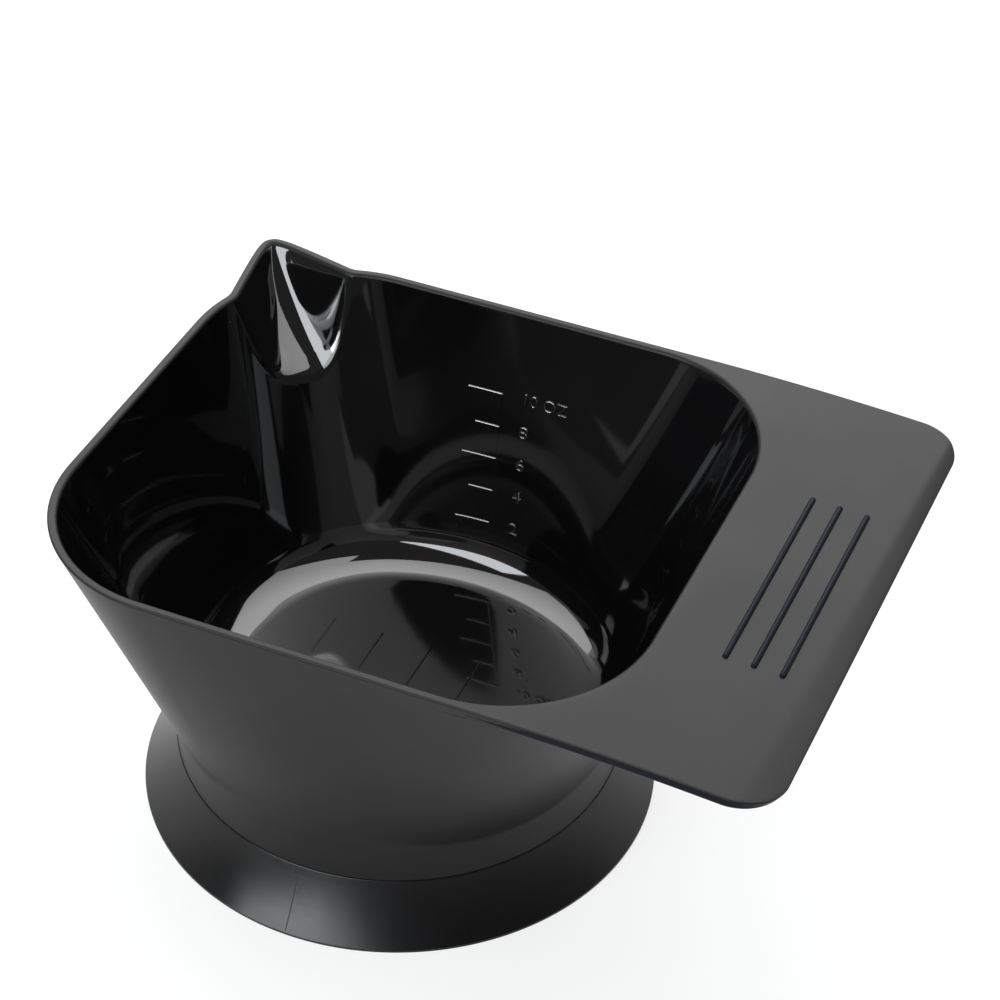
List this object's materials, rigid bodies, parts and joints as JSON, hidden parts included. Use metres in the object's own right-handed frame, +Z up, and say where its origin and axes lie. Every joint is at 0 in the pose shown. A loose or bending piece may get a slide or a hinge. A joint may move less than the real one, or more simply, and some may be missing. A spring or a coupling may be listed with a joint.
{
  "type": "hair color bowl",
  "caption": "Mixing bowl for hair colour with a pouring spout at one corner, a wide flat handle with grip ribs, and a flared rubber suction base plugged onto its round foot ring.",
  "frame": {"origin": "on the axis of the round base, at the plane of the table it stands on", "axes": "+Z up out of the bowl, +X along the handle, +Y towards the long side with the spout's corner at its -X end"},
  "size_m": [0.1515, 0.1134, 0.078],
  "materials": {
    "bowl_plastic": "black moulded plastic, polished inside the bowl, satin outside and on the handle",
    "base_rubber": "black satin rubber"
  },
  "bodies": {
    "base": {"suction_base": "base_rubber"},
    "bowl": {"bowl": "bowl_plastic"}
  },
  "joints": [
    {"name": "bowl_pull_off", "type": "slide", "parent": "base", "child": "bowl", "axis": [0, 0, 1], "range_m": [0, 0.03]}
  ]
}
